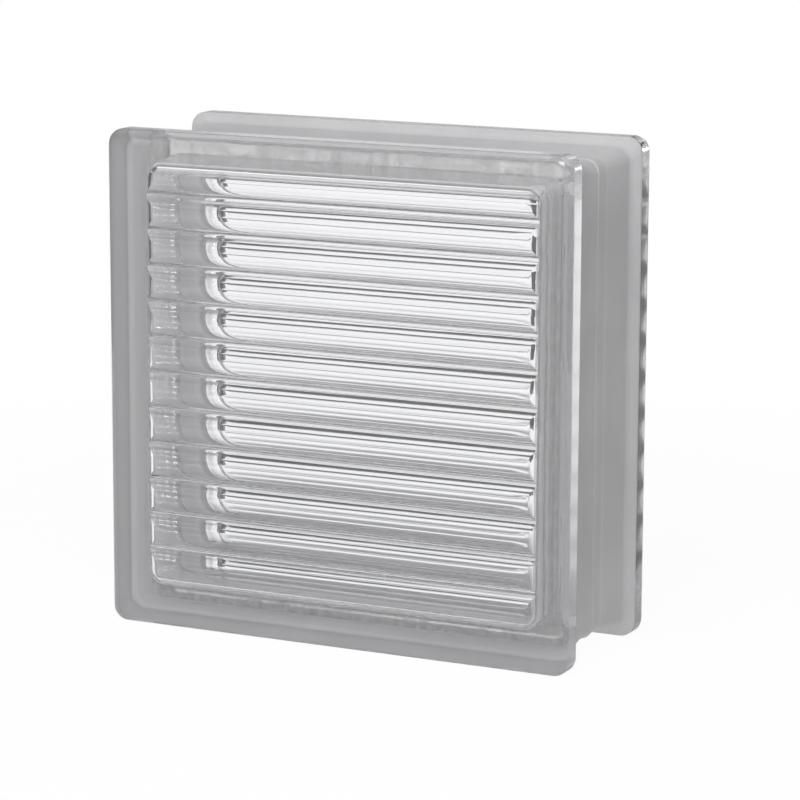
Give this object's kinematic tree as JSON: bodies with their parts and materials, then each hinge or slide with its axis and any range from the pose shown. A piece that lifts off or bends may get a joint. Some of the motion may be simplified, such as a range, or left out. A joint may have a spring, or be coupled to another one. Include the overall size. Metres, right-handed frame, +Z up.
{
  "type": "hollow glass block",
  "caption": "Square hollow glass block with a rim round each face, a mortar channel and level flutes inside both faces.",
  "frame": {"origin": "middle of the base, at the bottom of the block as it stands", "axes": "+X along the width, +Y from the front face to the back face, +Z up"},
  "size_m": [0.197, 0.0794, 0.197],
  "materials": {
    "clear_glass": "gloss"
  },
  "bodies": {
    "root": {"front_half": "clear_glass", "back_half": "clear_glass"}
  },
  "joints": []
}
